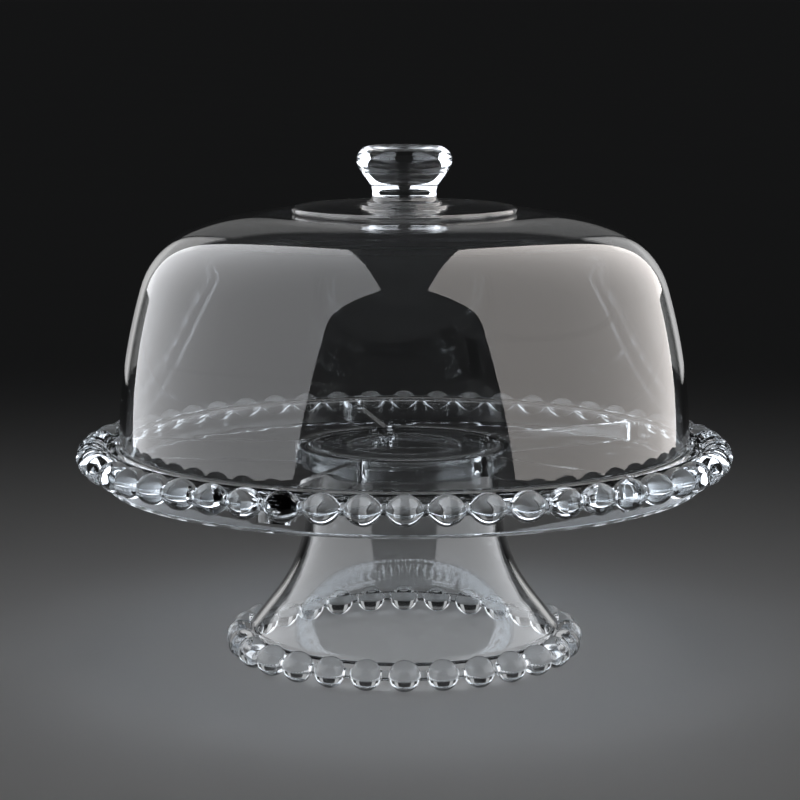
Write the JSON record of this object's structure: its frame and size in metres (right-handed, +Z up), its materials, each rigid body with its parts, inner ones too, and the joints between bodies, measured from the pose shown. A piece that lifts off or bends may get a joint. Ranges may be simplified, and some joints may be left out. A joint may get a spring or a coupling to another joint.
{
  "type": "cake stand",
  "caption": "Covered cake stand in clear pressed glass: hollow trumpet pedestal, lift-off tray with a beaded rim, and a tall dome with a foot disc and a solid knob.",
  "frame": {"origin": "on the ground, under the middle of the foot", "axes": "+Z up along the axis that the pedestal, the tray and the dome share; -Y to the front"},
  "size_m": [0.3048, 0.3048, 0.2369],
  "materials": {
    "pedestal_glass": "clear pressed glass, fire polished",
    "tray_glass": "clear pressed glass, fire polished",
    "dome_glass": "clear pressed glass, fire polished",
    "knob_glass": "clear solid glass, fire polished"
  },
  "bodies": {
    "pedestal": {"pedestal_trumpet": "pedestal_glass", "pedestal_bead_rim": "pedestal_glass"},
    "tray": {"tray_disc": "tray_glass", "tray_ledge": "tray_glass", "tray_skirt": "tray_glass", "tray_bead_rim": "tray_glass", "tray_collar": "tray_glass", "tray_dividers": "tray_glass"},
    "dome": {"dome_shell": "dome_glass", "dome_foot_disc": "dome_glass", "knob_collar": "dome_glass", "knob": "knob_glass"}
  },
  "joints": [
    {"name": "tray_lift", "type": "slide", "parent": "pedestal", "child": "tray", "axis": [0, 0, 1], "range_m": [0, 0.06]},
    {"name": "dome_lift", "type": "slide", "parent": "tray", "child": "dome", "axis": [0, 0, 1], "range_m": [0, 0.2]}
  ]
}
